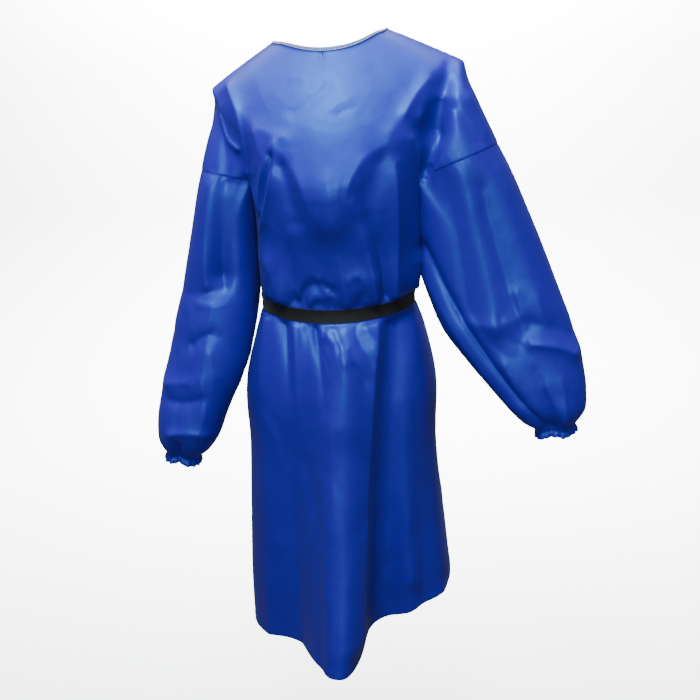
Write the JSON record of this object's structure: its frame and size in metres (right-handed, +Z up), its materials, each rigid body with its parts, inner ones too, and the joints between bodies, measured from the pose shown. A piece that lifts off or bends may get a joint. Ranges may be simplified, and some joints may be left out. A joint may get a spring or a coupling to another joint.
{
  "type": "isolation gown",
  "caption": "Long-sleeved isolation gown, filled out as if worn, with a round neck, overlapping back opening, elastic gathered cuffs, a webbing belt and a flared skirt.",
  "frame": {"origin": "midway between the two shoulder tips, on the line where the wearer's shoulders hold the gown", "axes": "+X to the wearer's left, the gown faces -Y, +Z up along its length"},
  "size_m": [0.825, 0.4872, 1.1703],
  "materials": {
    "front_cloth": "satin",
    "back_left_cloth": "satin",
    "back_right_cloth": "satin",
    "sleeve_left_cloth": "satin",
    "sleeve_right_cloth": "satin",
    "cuff_left_cloth": "satin",
    "cuff_right_cloth": "satin",
    "belt_webbing": "matte"
  },
  "bodies": {
    "root": {"front": "front_cloth", "back_left": "back_left_cloth", "back_right": "back_right_cloth", "sleeve_left": "sleeve_left_cloth", "sleeve_right": "sleeve_right_cloth", "cuff_left": "cuff_left_cloth", "cuff_right": "cuff_right_cloth", "belt": "belt_webbing"}
  },
  "joints": []
}
